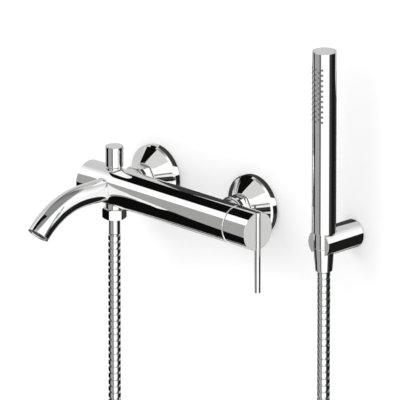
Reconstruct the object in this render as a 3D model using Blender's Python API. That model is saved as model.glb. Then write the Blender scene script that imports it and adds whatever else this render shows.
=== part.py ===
"""Wall mounted bath faucet: a horizontal mixer with a spout, a side lever, a pull diverter, wall unions
with cone roses, and a stick hand shower on a hose, held by a bracket on the wall.

+X runs to the right along the wall, +Y into the wall and +Z up. The wall is the plane y = 0, and the
origin is midway between the two inlets, at the height of the mixer's axis."""

import math

import bmesh
import bpy
from mathutils import Matrix, Vector

MM = 0.001
GAP = 0.3 * MM
X_AXIS, Y_AXIS, Z_AXIS = Vector((1, 0, 0)), Vector((0, 1, 0)), Vector((0, 0, 1))
SMOOTH_ANGLE = math.radians(30)

# Mixer body, a bar along X.
INLET_X = 75 * MM
BODY_Y = -62.5 * MM
BODY_RADIUS = 21.5 * MM
BODY_LEFT = -118 * MM
BODY_RIGHT = 108.5 * MM
BODY_END_CHAMFER = 1.5 * MM
OUTLET_X = -79.5 * MM

# Inlets: body spigot, washer, union, nut and rose, as places along Y.
BOSS_RADIUS = 15 * MM
BOSS_FACE_Y = -36.4 * MM
SPIGOT_RADIUS = 13 * MM
SPIGOT_FACE_Y = -32.5 * MM
UNION_RADIUS = 10.3 * MM
UNION_BORE = 7 * MM
UNION_END_Y = 18 * MM
UNION_FLANGE_RADIUS = 12.8 * MM
NUT_ACROSS_FLATS = 30 * MM
NUT_COLLAR_RADIUS = 17.4 * MM
NUT_FRONT_Y = -36.1 * MM
NUT_COLLAR_Y = -32 * MM
NUT_BACK_Y = -21.7 * MM
ROSE_RADIUS = 34.7 * MM
ROSE_RIM_Y = -6.2 * MM
ROSE_FRONT_RADIUS = 17.5 * MM
ROSE_FRONT_Y = -20.5 * MM

# Cartridge, stacked along X from the floor of its bore.
BORE_RADIUS = 17.5 * MM
BORE_FLOOR_X = 80.5 * MM
CARTRIDGE_RADIUS = 17.2 * MM
PIVOT_X = 92 * MM
PIN_RADIUS = 1.5 * MM
SPINDLE_RADIUS = 3.5 * MM
COVER_RADIUS = 24 * MM
HOT_PORT = (11 * MM, 8.5 * MM)
COLD_PORT = (11 * MM, -1 * MM)
MIXED_PORT = (-6 * MM, -3 * MM)

# Handle cap and lever rod.
CAP_START_X = 109.5 * MM
CAP_END_X = 142 * MM
CAP_FLOOR_X = 124 * MM
CAP_INNER_RADIUS = 20.3 * MM
ROD_X = 141.5 * MM
ROD_RADIUS = 3.2 * MM
ROD_TOP = 21.5 * MM
ROD_BOTTOM = -70.5 * MM
ROD_SCREW_Z = 13 * MM
CAP_SCREW_X = 129 * MM

# Spout, a tube that leaves along -Y and bends down.
SPOUT_RADIUS = 12.5 * MM
SPOUT_BORE = 11 * MM
SPOUT_ROOT_Y = BODY_Y - 15.7 * MM
SPOUT_STRAIGHT = 49 * MM
SPOUT_BEND_RADIUS = 93 * MM
SPOUT_BEND = math.radians(47)
SPOUT_BEND_STEPS = 9

# Diverter above the outlet, and the hose connection below it.
KNOB_RADIUS = 10 * MM
KNOB_BOTTOM = 23.2 * MM
KNOB_TOP = 46.4 * MM
STEM_RADIUS = 3 * MM
BUSH_BOTTOM = 8.3 * MM
CARRIER_TOP = -3.9 * MM
OUTLET_BOSS_RADIUS = 10.5 * MM
OUTLET_BOSS_BOTTOM = -24.7 * MM
HOSE_NUT_TOP = -25 * MM
HOSE_NUT_BOTTOM = -36.3 * MM
HOSE_NUT_ACROSS_FLATS = 23.4 * MM
HOSE_NUT_TURN = math.radians(-10)
FERRULE_RADIUS = 6.65 * MM
FERRULE_BORE = 4.2 * MM
FERRULE_BOTTOM = -54 * MM
SPRING_TURNS = 3.5
SPRING_WIRE = 0.45 * MM
SPRING_COIL = 4.4 * MM

# Hand shower, upright, and the bracket that holds it, a bar along Y.
HANDSET_X = 226.0 * MM
HANDSET_Y = -46 * MM
HANDSET_RADIUS = 13.25 * MM
HANDSET_BORE = 11.75 * MM
HANDSET_BOTTOM = 15.5 * MM
HANDSET_TOP = 220.6 * MM
NECK_RADIUS = 11.4 * MM
NECK_BOTTOM = -1.8 * MM
CONE_NUT_TOP = -2.1 * MM
CONE_NUT_BOTTOM = -28.4 * MM
NOZZLE_COLUMNS = 5
NOZZLE_ROWS = 11
NOZZLE_COLUMN_STEP = math.radians(17)
NOZZLE_PITCH = 5.9 * MM
NOZZLE_TOP_DROP = 18.1 * MM
NOZZLE_RADIUS = 0.9 * MM
NOZZLE_PROUD = 0.7 * MM
NOZZLE_SIDES = 6
BRACKET_RADIUS = 15.5 * MM
BRACKET_Z = 3.5 * MM
BRACKET_FRONT_Y = -54.4 * MM
SEAT_RADIUS = 12.6 * MM
SEAT_MOUTH_RADIUS = 13.6 * MM
SEAT_LEDGE_Z = 15.2 * MM

# Shower hose: its centre line, from the ferrule on the mixer to the one in the cone nut.
HOSE_RADIUS = 7 * MM
HOSE_STEP = 35 * MM
CURVE_PARTS = 20
HOSE_ROUTE_MM = [
    (-79.5, -62.5, -54.3),
    (-79.5, -62.5, -100),
    (-79.5, -62.5, -150),
    (-79.5, -62.5, -200),
    (-79.5, -62.5, -260),
    (-79.5, -62.5, -325),
    (-74.3, -62.2, -390),
    (-59.1, -61.4, -450),
    (-34.8, -60.1, -502),
    (-3.1, -58.4, -541.5),
    (33.7, -56.4, -566.5),
    (73.3, -54.3, -575),
    (112.8, -52.1, -566.5),
    (149.6, -50.1, -541.5),
    (181.3, -48.4, -502),
    (205.6, -47.1, -450),
    (220.8, -46.3, -390),
    (226.0, -46, -325),
    (226.0, -46, -260),
    (226.0, -46, -200),
    (226.0, -46, -150),
    (226.0, -46, -100),
    (226.0, -46, -60),
    (226.0, -46, -28.7),
]

# Finishes: colour, metallic and roughness.
CHROME = ((0.86, 0.87, 0.87), 1.0, 0.05)
BRASS = ((0.72, 0.55, 0.27), 1.0, 0.3)
STEEL = ((0.62, 0.62, 0.62), 1.0, 0.25)
RUBBER = ((0.03, 0.03, 0.03), 0.0, 0.6)
CERAMIC = ((0.85, 0.83, 0.78), 0.0, 0.25)
PLASTIC = ((0.75, 0.75, 0.75), 0.0, 0.45)
SILICONE = ((0.45, 0.46, 0.46), 0.0, 0.5)

# How many sides a turned shape has, by its size.
LARGE, MEDIUM, SMALL, TINY = 36, 22, 14, 10


def clear_scene():
    for obj in list(bpy.data.objects):
        bpy.data.objects.remove(obj, do_unlink=True)


def along(axis, centre=(0, 0, 0)):
    """The transform that carries +Z onto axis, and the origin onto centre."""
    turn = Z_AXIS.rotation_difference(Vector(axis)).to_matrix().to_4x4()
    return Matrix.Translation(Vector(centre)) @ turn


def turned(profile, place, sides, first=0.0):
    """A solid turned about an axis. The profile holds (radius, height) pairs, and one that keeps clear
    of the axis closes on itself into a ring."""
    shape = bmesh.new()
    verts = [shape.verts.new((radius, 0, height)) for radius, height in profile]
    edges = [shape.edges.new(pair) for pair in zip(verts, verts[1:])]
    if all(radius > 0 for radius, _ in profile):
        edges.append(shape.edges.new((verts[-1], verts[0])))
    bmesh.ops.rotate(shape, verts=verts, cent=(0, 0, 0), matrix=Matrix.Rotation(first, 3, "Z"))
    bmesh.ops.spin(
        shape,
        geom=verts + edges,
        cent=(0, 0, 0),
        axis=(0, 0, 1),
        angle=math.tau,
        steps=sides,
        use_merge=True,
    )
    bmesh.ops.remove_doubles(shape, verts=shape.verts, dist=1e-6)
    bmesh.ops.recalc_face_normals(shape, faces=shape.faces)
    shape.transform(place)
    return shape


def rod(radius, low, high):
    """The profile of a plain cylinder."""
    return [(0, low), (radius, low), (radius, high), (0, high)]


def ring(bore, radius, low, high):
    """The profile of a plain tube."""
    return [(bore, low), (radius, low), (radius, high), (bore, high)]


def chamfered(radius, low, high, chamfer):
    """The profile of a cylinder with both its rims chamfered."""
    return [
        (0, low),
        (radius - chamfer, low),
        (radius, low + chamfer),
        (radius, high - chamfer),
        (radius - chamfer, high),
        (0, high),
    ]


def corner_radius(across_flats):
    return across_flats / 2 / math.cos(math.pi / 6)


def block(low, high):
    """A box between two corners."""
    low, high = Vector(low), Vector(high)
    shape = bmesh.new()
    size = Matrix.Diagonal((high - low).to_4d())
    bmesh.ops.create_cube(shape, size=1, matrix=Matrix.Translation((low + high) / 2) @ size)
    return shape


def on_body_axis(profile, sides=MEDIUM, offset=(0, 0)):
    """Turned about a line along X, at offset (y, z) from the mixer's axis."""
    return turned(profile, along(X_AXIS, (0, BODY_Y + offset[0], offset[1])), sides)


def on_inlet_axis(profile, x, sides=MEDIUM):
    return turned(profile, along(Y_AXIS, (x, 0, 0)), sides)


def on_outlet_axis(profile, sides=MEDIUM, first=0.0):
    return turned(profile, along(Z_AXIS, (OUTLET_X, BODY_Y, 0)), sides, first)


def on_handset_axis(profile, sides=MEDIUM):
    return turned(profile, along(Z_AXIS, (HANDSET_X, HANDSET_Y, 0)), sides)


def on_bracket_axis(profile, sides=MEDIUM):
    return turned(profile, along(Y_AXIS, (HANDSET_X, 0, BRACKET_Z)), sides)


def give_material(obj, finish):
    colour, metallic, roughness = finish
    material = bpy.data.materials.new(obj.name)
    material.use_nodes = True
    shader = material.node_tree.nodes["Principled BSDF"]
    shader.inputs["Base Color"].default_value = (*colour, 1)
    shader.inputs["Metallic"].default_value = metallic
    shader.inputs["Roughness"].default_value = roughness
    obj.data.materials.append(material)


def piece(name, shape, finish, joint=None):
    """A named sub-part, in world coordinates. One that moves takes its joint's empty as its origin."""
    mesh = bpy.data.meshes.new(name)
    if joint:
        shape.transform(Matrix.Translation(-joint["world"]))
    shape.to_mesh(mesh)
    shape.free()
    mesh.shade_smooth()
    mesh.set_sharp_from_angle(angle=SMOOTH_ANGLE)
    obj = bpy.data.objects.new(name, mesh)
    bpy.context.scene.collection.objects.link(obj)
    give_material(obj, finish)
    if joint:
        obj.parent = joint["empty"]
    return obj


def joint_axis(name, world, parent=None):
    """An empty on a joint's axis, which the pieces that turn or slide there are parented to."""
    empty = bpy.data.objects.new(name, None)
    world = Vector(world)
    empty.location = world - parent["world"] if parent else world
    empty.parent = parent["empty"] if parent else None
    bpy.context.scene.collection.objects.link(empty)
    return {"empty": empty, "world": world}


def tool(name, shape):
    """A shape that only cuts or joins another one."""
    mesh = bpy.data.meshes.new(name)
    shape.to_mesh(mesh)
    shape.free()
    obj = bpy.data.objects.new(name, mesh)
    obj.hide_render = True
    obj.display_type = "WIRE"
    bpy.context.scene.collection.objects.link(obj)
    return obj


def combine(obj, operation, shapes):
    """Applies each shape to obj as a Boolean of that kind."""
    for number, shape in enumerate(shapes, 1):
        name = f"{obj.name}_{operation.lower()}_{number}"
        modifier = obj.modifiers.new(name, "BOOLEAN")
        modifier.operation = operation
        modifier.solver = "EXACT"
        modifier.object = tool(name, shape)


def merged(shapes):
    """Several separate shapes in one bmesh, to cut or join them in one go."""
    whole = bmesh.new()
    for shape in shapes:
        mesh = bpy.data.meshes.new("part_of_a_tool")
        shape.to_mesh(mesh)
        shape.free()
        whole.from_mesh(mesh)
        bpy.data.meshes.remove(mesh)
    return whole


def port_holes(low, high, radii):
    """The hot, cold and mixed water ports of the cartridge, as shapes to cut."""
    return merged(
        on_body_axis(rod(radius, low, high), TINY, offset)
        for offset, radius in zip((HOT_PORT, COLD_PORT, MIXED_PORT), radii)
    )


def make_mixer_body():
    bar = [
        (0, BODY_LEFT),
        (BODY_RADIUS - 1 * MM, BODY_LEFT),
        (BODY_RADIUS, BODY_LEFT + 1 * MM),
        (BODY_RADIUS, BODY_RIGHT - BODY_END_CHAMFER),
        (BODY_RADIUS - BODY_END_CHAMFER, BODY_RIGHT),
        (0, BODY_RIGHT),
    ]
    boss = [
        (0, -50 * MM),
        (BOSS_RADIUS, -50 * MM),
        (BOSS_RADIUS, BOSS_FACE_Y),
        (SPIGOT_RADIUS, BOSS_FACE_Y),
        (SPIGOT_RADIUS, SPIGOT_FACE_Y),
        (0, SPIGOT_FACE_Y),
    ]
    body = piece("mixer_body", on_body_axis(bar, LARGE), CHROME)
    bosses = [on_inlet_axis(boss, side * INLET_X) for side in (-1, 1)]
    bosses.append(on_outlet_axis(rod(OUTLET_BOSS_RADIUS, OUTLET_BOSS_BOTTOM, -17 * MM), SMALL))
    combine(body, "UNION", bosses)

    cartridge_bore = [
        (0, BORE_FLOOR_X),
        (BORE_RADIUS, BORE_FLOOR_X),
        (BORE_RADIUS, 105.2 * MM),
        (19.1 * MM, 105.2 * MM),
        (19.1 * MM, 112 * MM),
        (0, 112 * MM),
    ]
    inlet_bore = [
        (0, BODY_Y + 9 * MM),
        (4.5 * MM, BODY_Y + 9 * MM),
        (4.5 * MM, -44 * MM),
        (8 * MM, -44 * MM),
        (8 * MM, -30 * MM),
        (0, -30 * MM),
    ]
    diverter_bore = [
        (0, -27 * MM),
        (8 * MM, -27 * MM),
        (8 * MM, -13 * MM),
        (4.5 * MM, -13 * MM),
        (4.5 * MM, -8 * MM),
        (6.2 * MM, -8 * MM),
        (6.2 * MM, 8 * MM),
        (7 * MM, 8 * MM),
        (7 * MM, 19.4 * MM),
        (9 * MM, 19.4 * MM),
        (9 * MM, 25 * MM),
        (0, 25 * MM),
    ]
    spout_socket = [
        (0, -90 * MM),
        (SPOUT_RADIUS + GAP, -90 * MM),
        (SPOUT_RADIUS + GAP, BODY_Y - 13.6 * MM),
        (7 * MM, BODY_Y - 13.6 * MM),
        (7 * MM, BODY_Y - 4 * MM),
        (0, BODY_Y - 4 * MM),
    ]
    hot_link_place = along(Z_AXIS, (-INLET_X, BODY_Y + HOT_PORT[0], 0))
    hot_link = turned(rod(3 * MM, -2 * MM, 9 * MM), hot_link_place, SMALL)
    bores = [
        on_body_axis(cartridge_bore, LARGE),
        on_body_axis(rod(12.3 * MM, BODY_LEFT - 3 * MM, -106 * MM)),
        on_body_axis(rod(7 * MM, -107 * MM, 82 * MM), SMALL, MIXED_PORT),
        on_body_axis(rod(3 * MM, -78 * MM, 82 * MM), SMALL, HOT_PORT),
        on_body_axis(rod(3 * MM, 75 * MM, 82 * MM), SMALL, COLD_PORT),
        hot_link,
        on_inlet_axis(inlet_bore, -INLET_X, SMALL),
        on_inlet_axis(inlet_bore, INLET_X, SMALL),
        on_outlet_axis(diverter_bore, SMALL),
        on_inlet_axis(spout_socket, OUTLET_X),
    ]
    combine(body, "DIFFERENCE", bores)


def make_left_end_plug():
    plug = piece("left_end_plug", on_body_axis(rod(11.9 * MM, -117.6 * MM, -108 * MM)), CHROME)
    key_socket = rod(corner_radius(10 * MM), -119 * MM, -112.5 * MM)
    combine(plug, "DIFFERENCE", [on_body_axis(key_socket, 6)])
    piece("plug_seal", on_body_axis(ring(9.5 * MM, 11.9 * MM, -107.7 * MM, -106.3 * MM)), RUBBER)


def make_inlet(name, x):
    """One inlet: check valve, washer, union, its nut and the wall rose."""
    valve = ring(4.5 * MM, 7.6 * MM, -43.5 * MM, -33 * MM)
    piece(f"check_valve_{name}", on_inlet_axis(valve, x, SMALL), PLASTIC)
    washer = ring(7.2 * MM, 12.8 * MM, -32.2 * MM, -31 * MM)
    piece(f"inlet_washer_{name}", on_inlet_axis(washer, x), RUBBER)
    union = [
        (UNION_BORE, -30.7 * MM),
        (UNION_FLANGE_RADIUS, -30.7 * MM),
        (UNION_FLANGE_RADIUS, -28.2 * MM),
        (UNION_RADIUS, -28.2 * MM),
        (UNION_RADIUS, UNION_END_Y),
        (UNION_BORE, UNION_END_Y),
    ]
    piece(f"union_{name}", on_inlet_axis(union, x), BRASS)
    make_union_nut(name, x)
    rose = [
        (11 * MM, ROSE_FRONT_Y - 0.5 * MM),
        (ROSE_FRONT_RADIUS, ROSE_FRONT_Y - 0.5 * MM),
        (33 * MM, -8 * MM),
        (ROSE_RADIUS, ROSE_RIM_Y),
        (ROSE_RADIUS, 0),
        (31.9 * MM, 0),
        (31.9 * MM, -6.9 * MM),
        (16.4 * MM, -19.4 * MM),
        (11 * MM, -19.4 * MM),
    ]
    piece(f"wall_rose_{name}", on_inlet_axis(rose, x, LARGE), CHROME)


def make_union_nut(name, x):
    corner = corner_radius(NUT_ACROSS_FLATS)
    hexagon = [
        (0, NUT_COLLAR_Y - 1 * MM),
        (corner, NUT_COLLAR_Y - 1 * MM),
        (corner, NUT_BACK_Y - 0.8 * MM),
        (corner - 0.8 * MM, NUT_BACK_Y),
        (0, NUT_BACK_Y),
    ]
    place = along(Y_AXIS, (x, 0, 0))
    nut = piece(f"union_nut_{name}", turned(hexagon, place, 6), CHROME)
    collar = chamfered(NUT_COLLAR_RADIUS, NUT_FRONT_Y, NUT_COLLAR_Y, 0.4 * MM)
    combine(nut, "UNION", [on_inlet_axis(collar, x)])
    thread = [
        (0, NUT_FRONT_Y - 1 * MM),
        (SPIGOT_RADIUS + GAP, NUT_FRONT_Y - 1 * MM),
        (SPIGOT_RADIUS + GAP, -27.9 * MM),
        (UNION_RADIUS + 0.4 * MM, -27.9 * MM),
        (UNION_RADIUS + 0.4 * MM, NUT_BACK_Y + 1 * MM),
        (0, NUT_BACK_Y + 1 * MM),
    ]
    combine(nut, "DIFFERENCE", [on_inlet_axis(thread, x)])


def spout_end():
    """The centre of the outlet and the direction that the water leaves in."""
    direction = Vector((0, -math.cos(SPOUT_BEND), -math.sin(SPOUT_BEND)))
    forward = SPOUT_STRAIGHT + SPOUT_BEND_RADIUS * math.sin(SPOUT_BEND)
    drop = SPOUT_BEND_RADIUS * (1 - math.cos(SPOUT_BEND))
    return Vector((OUTLET_X, BODY_Y - forward, -drop)), direction


def make_spout_tube():
    """The outer wall, extruded straight and then spun round the bend, given its thickness inwards."""
    shape = bmesh.new()
    root = along(-Y_AXIS, (OUTLET_X, SPOUT_ROOT_Y, 0))
    bmesh.ops.create_circle(shape, segments=MEDIUM, radius=SPOUT_RADIUS, matrix=root)
    bend_y = BODY_Y - SPOUT_STRAIGHT
    made = bmesh.ops.extrude_edge_only(shape, edges=shape.edges[:])["geom"]
    bend_verts = [item for item in made if isinstance(item, bmesh.types.BMVert)]
    bend_edges = [
        item
        for item in made
        if isinstance(item, bmesh.types.BMEdge) and all(vert in bend_verts for vert in item.verts)
    ]
    bmesh.ops.translate(shape, verts=bend_verts, vec=(0, bend_y - SPOUT_ROOT_Y, 0))
    bmesh.ops.spin(
        shape,
        geom=bend_edges,
        cent=(OUTLET_X, bend_y, -SPOUT_BEND_RADIUS),
        axis=(1, 0, 0),
        angle=SPOUT_BEND,
        steps=SPOUT_BEND_STEPS,
    )
    bmesh.ops.recalc_face_normals(shape, faces=shape.faces)
    tube = piece("spout_tube", shape, CHROME)
    wall = tube.modifiers.new("wall", "SOLIDIFY")
    wall.thickness = SPOUT_RADIUS - SPOUT_BORE
    wall.offset = -1
    wall.use_even_offset = True


def make_spout_parts():
    make_spout_tube()
    seal = ring(8 * MM, 12.4 * MM, SPOUT_ROOT_Y + GAP, BODY_Y - 13.9 * MM)
    piece("spout_seal", on_inlet_axis(seal, OUTLET_X), RUBBER)
    mouth, direction = spout_end()
    place = along(direction, mouth)
    housing = [
        (9 * MM, -1.2 * MM),
        (10.3 * MM, -1.2 * MM),
        (10.3 * MM, -8 * MM),
        (7 * MM, -8 * MM),
        (7 * MM, -6.5 * MM),
        (9 * MM, -6.5 * MM),
    ]
    piece("aerator_housing", turned(housing, place, MEDIUM), CHROME)
    insert = piece("aerator_insert", turned(rod(8.7 * MM, -5.5 * MM, -2.6 * MM), place, MEDIUM), PLASTIC)
    centres = [(0, 0)] + [(5.2 * MM, turn * math.tau / 8) for turn in range(8)]
    hole = rod(1.5 * MM, -8 * MM, 0)
    holes = []
    for reach, turn in centres:
        spot = Matrix.Translation((reach * math.cos(turn), reach * math.sin(turn), 0))
        holes.append(turned(hole, place @ spot, TINY))
    combine(insert, "DIFFERENCE", [merged(holes)])


def make_cartridge_fixed_parts():
    seal = piece("cartridge_base_seal", on_body_axis(rod(16.8 * MM, 80.8 * MM, 81.8 * MM)), RUBBER)
    combine(seal, "DIFFERENCE", [port_holes(79 * MM, 83 * MM, (3.2 * MM, 3.2 * MM, 6 * MM))])
    cup = [
        (0, 82.1 * MM),
        (CARTRIDGE_RADIUS, 82.1 * MM),
        (CARTRIDGE_RADIUS, 99.5 * MM),
        (14.2 * MM, 99.5 * MM),
        (14.2 * MM, 83.8 * MM),
        (0, 83.8 * MM),
    ]
    housing = piece("cartridge_housing", on_body_axis(cup), PLASTIC)
    combine(housing, "DIFFERENCE", [port_holes(81 * MM, 84.5 * MM, (2.2 * MM, 2.2 * MM, 5 * MM))])
    disc = piece("cartridge_fixed_disc", on_body_axis(rod(13.6 * MM, 84.1 * MM, 85.6 * MM)), CERAMIC)
    spots = (((8.5 * MM, 6 * MM), 2 * MM), ((8.5 * MM, -1 * MM), 2 * MM), ((-5 * MM, -2 * MM), 4 * MM))
    holes = [on_body_axis(rod(radius, 83 * MM, 87 * MM), TINY, offset) for offset, radius in spots]
    combine(disc, "DIFFERENCE", [merged(holes)])
    nut = ring(10.6 * MM, CARTRIDGE_RADIUS, 99.8 * MM, 104.4 * MM)
    piece("cartridge_retaining_ring", on_body_axis(nut), BRASS)
    piece("cartridge_cover", on_body_axis(cover_profile(), LARGE), CHROME)


def cover_profile():
    """A skirt in the body's mouth and a narrow dome about the lever's pivot, under the handle cap."""
    thick = 1.2 * MM
    skirt, mouth, start = 18.8 * MM, 15 * MM, 105.5 * MM

    def dome(sphere, low_radius, high_radius):
        first, last = math.asin(low_radius / sphere), math.asin(high_radius / sphere)
        turns = [first + (last - first) * step / 3 for step in range(4)]
        return [(sphere * math.sin(turn), PIVOT_X + sphere * math.cos(turn)) for turn in turns]

    outer = dome(COVER_RADIUS, skirt, mouth)
    inner = dome(COVER_RADIUS - thick, mouth, skirt - thick)
    return [(skirt - thick, start), (skirt, start)] + outer + inner


def make_lever(turn_joint, tilt_joint, disc_joint):
    disc = [
        (0, 85.9 * MM),
        (10.2 * MM, 85.9 * MM),
        (10.2 * MM, 88.2 * MM),
        (3.3 * MM, 88.2 * MM),
        (3.3 * MM, 86.9 * MM),
        (0, 86.9 * MM),
    ]
    piece("cartridge_moving_disc", on_body_axis(disc), CERAMIC, disc_joint)
    make_rotor(turn_joint)
    make_spindle(tilt_joint)
    make_handle_cap(tilt_joint)
    make_lever_rod(tilt_joint)


def make_rotor(joint):
    drum = [
        (0, 88.5 * MM),
        (13.8 * MM, 88.5 * MM),
        (13.8 * MM, 99.2 * MM),
        (10 * MM, 99.2 * MM),
        (10 * MM, 104 * MM),
        (0, 104 * MM),
    ]
    rotor = piece("cartridge_rotor", on_body_axis(drum), PLASTIC, joint)
    slot = block((87 * MM, BODY_Y - 4 * MM, -6 * MM), (106 * MM, BODY_Y + 4 * MM, 16 * MM))
    pin_place = along(Y_AXIS, (PIVOT_X, BODY_Y, 0))
    combine(rotor, "DIFFERENCE", [slot, turned(rod(PIN_RADIUS + GAP, -16 * MM, 16 * MM), pin_place, SMALL)])
    piece("rotor_pin", turned(rod(PIN_RADIUS, -12 * MM, 12 * MM), pin_place, SMALL), STEEL, joint)


def make_spindle(joint):
    stem = [
        (0, 87.3 * MM),
        (1.2 * MM, 87.3 * MM),
        (2.6 * MM, 88.6 * MM),
        (2.6 * MM, 89.5 * MM),
        (SPINDLE_RADIUS, 91 * MM),
        (SPINDLE_RADIUS, 110 * MM),
        (0, 110 * MM),
    ]
    spindle = piece("spindle", on_body_axis(stem, SMALL), STEEL, joint)
    half = SPINDLE_RADIUS - 0.1 * MM
    square = block((108 * MM, BODY_Y - half, -half), (133.5 * MM, BODY_Y + half, half))
    combine(spindle, "UNION", [square])
    pin_place = along(Y_AXIS, (PIVOT_X, BODY_Y, 0))
    combine(spindle, "DIFFERENCE", [turned(rod(PIN_RADIUS + GAP, -16 * MM, 16 * MM), pin_place, SMALL)])


def make_handle_cap(joint):
    edge = 0.4 * MM
    shell = [
        (0, CAP_FLOOR_X),
        (CAP_INNER_RADIUS, CAP_FLOOR_X),
        (CAP_INNER_RADIUS, CAP_START_X),
        (BODY_RADIUS - edge, CAP_START_X),
        (BODY_RADIUS, CAP_START_X + edge),
        (BODY_RADIUS, CAP_END_X - edge),
        (BODY_RADIUS - edge, CAP_END_X),
        (0, CAP_END_X),
    ]
    cap = piece("handle_cap", on_body_axis(shell, LARGE), CHROME, joint)
    half = SPINDLE_RADIUS + GAP
    socket = block((CAP_FLOOR_X - 2 * MM, BODY_Y - half, -half), (134 * MM, BODY_Y + half, half))
    groove = turned(rod(ROD_RADIUS + GAP, -30 * MM, 30 * MM), along(Z_AXIS, (ROD_X, BODY_Y, 0)), SMALL)
    screw_hole = [
        (0, CAP_FLOOR_X - 2 * MM),
        (3.1 * MM, CAP_FLOOR_X - 2 * MM),
        (3.1 * MM, 127.5 * MM),
        (1.8 * MM, 127.5 * MM),
        (1.8 * MM, CAP_END_X + 1 * MM),
        (0, CAP_END_X + 1 * MM),
    ]
    screw_holes = [on_body_axis(screw_hole, TINY, (0, side * ROD_SCREW_Z)) for side in (-1, 1)]
    grub_place = along(Y_AXIS, (CAP_SCREW_X, BODY_Y, 0))
    grub_hole = turned(rod(2.8 * MM, 3 * MM, 30 * MM), grub_place, TINY)
    combine(cap, "DIFFERENCE", [socket, groove, *screw_holes, grub_hole])
    grub = turned(rod(2.5 * MM, 4.2 * MM, 14 * MM), grub_place, TINY)
    piece("cap_grub_screw", grub, STEEL, joint)


def make_lever_rod(joint):
    place = along(Z_AXIS, (ROD_X, BODY_Y, 0))
    shape = turned(chamfered(ROD_RADIUS, ROD_BOTTOM, ROD_TOP, 0.5 * MM), place, SMALL)
    lever = piece("lever_rod", shape, CHROME, joint)
    screw = [
        (0, 124.2 * MM),
        (2.8 * MM, 124.2 * MM),
        (2.8 * MM, 127.2 * MM),
        (1.5 * MM, 127.2 * MM),
        (1.5 * MM, 140.3 * MM),
        (0, 140.3 * MM),
    ]
    thread = rod(1.8 * MM, 130 * MM, 140.6 * MM)
    for name, side in (("upper", 1), ("lower", -1)):
        offset = (0, side * ROD_SCREW_Z)
        piece(f"rod_screw_{name}", on_body_axis(screw, TINY, offset), STEEL, joint)
        combine(lever, "DIFFERENCE", [on_body_axis(thread, TINY, offset)])


def make_diverter(joint):
    bush = [
        (STEM_RADIUS + GAP, BUSH_BOTTOM),
        (6.7 * MM, BUSH_BOTTOM),
        (6.7 * MM, 19.7 * MM),
        (8.7 * MM, 19.7 * MM),
        (8.7 * MM, 22.7 * MM),
        (STEM_RADIUS + GAP, 22.7 * MM),
    ]
    piece("diverter_bush", on_outlet_axis(bush), CHROME)
    knob = [
        (0, 40 * MM),
        (STEM_RADIUS + GAP, 40 * MM),
        (STEM_RADIUS + GAP, KNOB_BOTTOM),
        (KNOB_RADIUS - 0.8 * MM, KNOB_BOTTOM),
        (KNOB_RADIUS, KNOB_BOTTOM + 0.8 * MM),
        (KNOB_RADIUS, KNOB_TOP - 0.3 * MM),
        (KNOB_RADIUS - 0.3 * MM, KNOB_TOP),
        (0, KNOB_TOP),
    ]
    piece("diverter_knob", on_outlet_axis(knob), CHROME, joint)
    stem = [
        (0, -9.5 * MM),
        (1.5 * MM, -9.5 * MM),
        (1.5 * MM, -5.4 * MM),
        (5.4 * MM, -5.4 * MM),
        (5.4 * MM, CARRIER_TOP),
        (STEM_RADIUS, CARRIER_TOP),
        (STEM_RADIUS, 39.7 * MM),
        (0, 39.7 * MM),
    ]
    piece("diverter_stem", on_outlet_axis(stem, SMALL), BRASS, joint)
    washer = ring(1.8 * MM, 5.5 * MM, -7.7 * MM, -5.7 * MM)
    piece("diverter_washer", on_outlet_axis(washer, SMALL), RUBBER, joint)


def tube_along(name, points, radius, resolution, finish):
    """A curve object through the points, with a round section and closed ends."""
    curve = bpy.data.curves.new(name, "CURVE")
    curve.dimensions = "3D"
    curve.bevel_depth = radius
    curve.bevel_resolution = resolution
    curve.use_fill_caps = True
    spline = curve.splines.new("POLY")
    spline.points.add(len(points) - 1)
    for place, point in zip(spline.points, points):
        place.co = (*point, 1)
    obj = bpy.data.objects.new(name, curve)
    bpy.context.scene.collection.objects.link(obj)
    give_material(obj, finish)


def make_diverter_spring():
    low = CARRIER_TOP + GAP + SPRING_WIRE
    high = BUSH_BOTTOM - GAP - SPRING_WIRE
    steps = int(SPRING_TURNS * 12)
    points = []
    for step in range(steps + 1):
        turn = math.tau * SPRING_TURNS * step / steps
        across = (SPRING_COIL * math.cos(turn), SPRING_COIL * math.sin(turn))
        points.append((OUTLET_X + across[0], BODY_Y + across[1], low + (high - low) * step / steps))
    tube_along("diverter_spring", points, SPRING_WIRE, 1, STEEL)


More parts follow.
